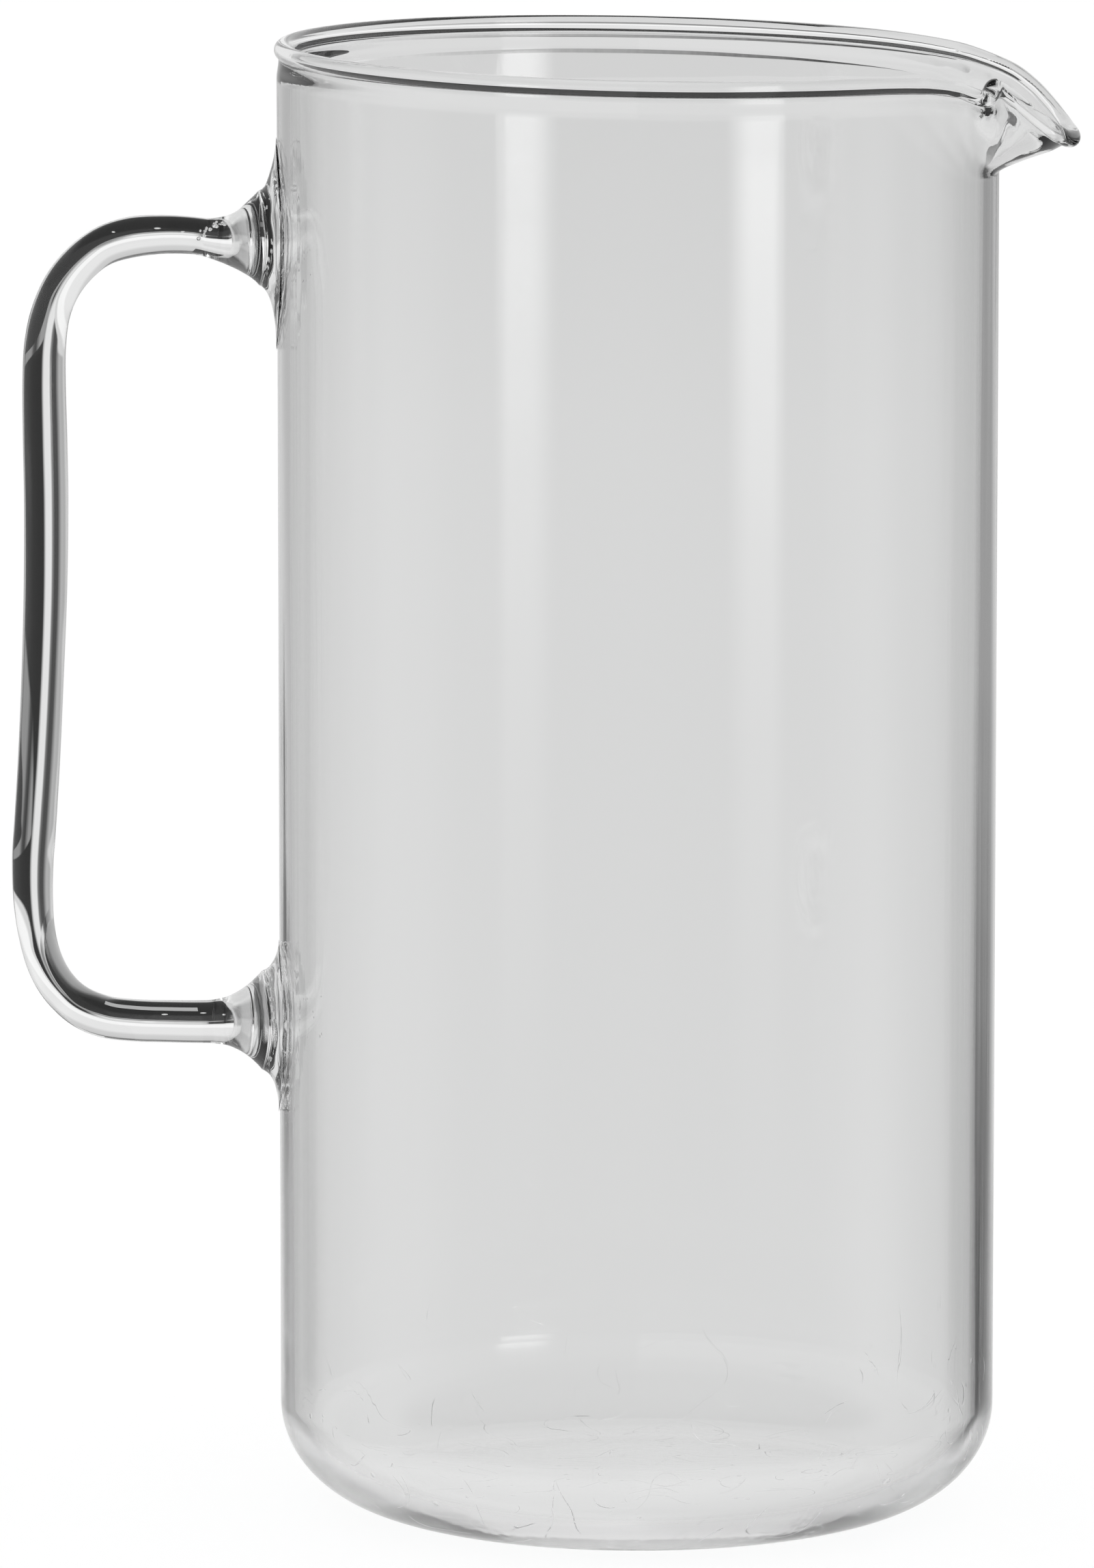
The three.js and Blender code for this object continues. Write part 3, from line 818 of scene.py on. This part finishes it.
# one tall softbox in front, to the right, feathered towards its foot
box_az = azs([(132, 0.0), (134, 1.0), (144, 1.0), (148, 0.55), (152, 0.0)])
box_el = els([(-11.0, 0.0), (-9.8, .03), (-8.2, .15), (-7.2, .36), (-5.8, .85), (-5.2, 1.0), (2, 1.0), (5, .45), (12, .12), (24, .06), (30, 0.0)])
two = mixv(math_node("MULTIPLY", box_az, box_el), two, 3.6)
lp = N.new("ShaderNodeLightPath")
single = math_node("MULTIPLY", math_node("LESS_THAN", lp.outputs["Transmission Depth"], 3.5),
                   math_node("LESS_THAN", lp.outputs["Glossy Depth"], 0.5))
# seen from behind, straight through both walls, the room in front is as pale as the sweep
behind = math_node("MULTIPLY", gate(math_node("ABSOLUTE", az_d), 100.0, 125.0),
                   math_node("LESS_THAN", lp.outputs["Glossy Depth"], 0.5))
two = mixv(behind, two, 0.76)
studio = mixv(single, two, one)

bg_s = N.new("ShaderNodeBackground")
L.new(studio, bg_s.inputs["Strength"])
bg_s.inputs["Color"].default_value = (1, 1, 1, 1)
bg_d = N.new("ShaderNodeBackground")     # what lights the table: an even white dome
bg_d.inputs["Color"].default_value = (1, 1, 1, 1)
bg_d.inputs["Strength"].default_value = 1.14
bg_c = N.new("ShaderNodeBackground")     # what the camera sees past the table
bg_c.inputs["Color"].default_value = (1.0, 1.0, 1.0, 1)
m1 = N.new("ShaderNodeMixShader")
dif = math_node("MAXIMUM", lp.outputs["Is Diffuse Ray"], lp.outputs["Is Shadow Ray"])
L.new(dif, m1.inputs[0])
L.new(bg_s.outputs[0], m1.inputs[1])
L.new(bg_d.outputs[0], m1.inputs[2])
m2 = N.new("ShaderNodeMixShader")
L.new(lp.outputs["Is Camera Ray"], m2.inputs[0])
L.new(m1.outputs[0], m2.inputs[1])
L.new(bg_c.outputs[0], m2.inputs[2])
L.new(m2.outputs[0], wout.inputs["Surface"])

scene.view_settings.view_transform = "Standard"
scene.view_settings.look = "None"
scene.cycles.max_bounces = 20
scene.cycles.transmission_bounces = 20
scene.cycles.glossy_bounces = 12
scene.cycles.transparent_max_bounces = 32
scene.cycles.diffuse_bounces = 2
scene.cycles.caustics_refractive = True
scene.cycles.caustics_reflective = True

# ---------------------------------------------------------------- ride on the frame
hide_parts("vessel")
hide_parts("handle")
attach(vessel, "root")
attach(handle, "root")
for name, (ob, _inner) in pieces.items():
    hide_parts(name)
    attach(ob, "root")
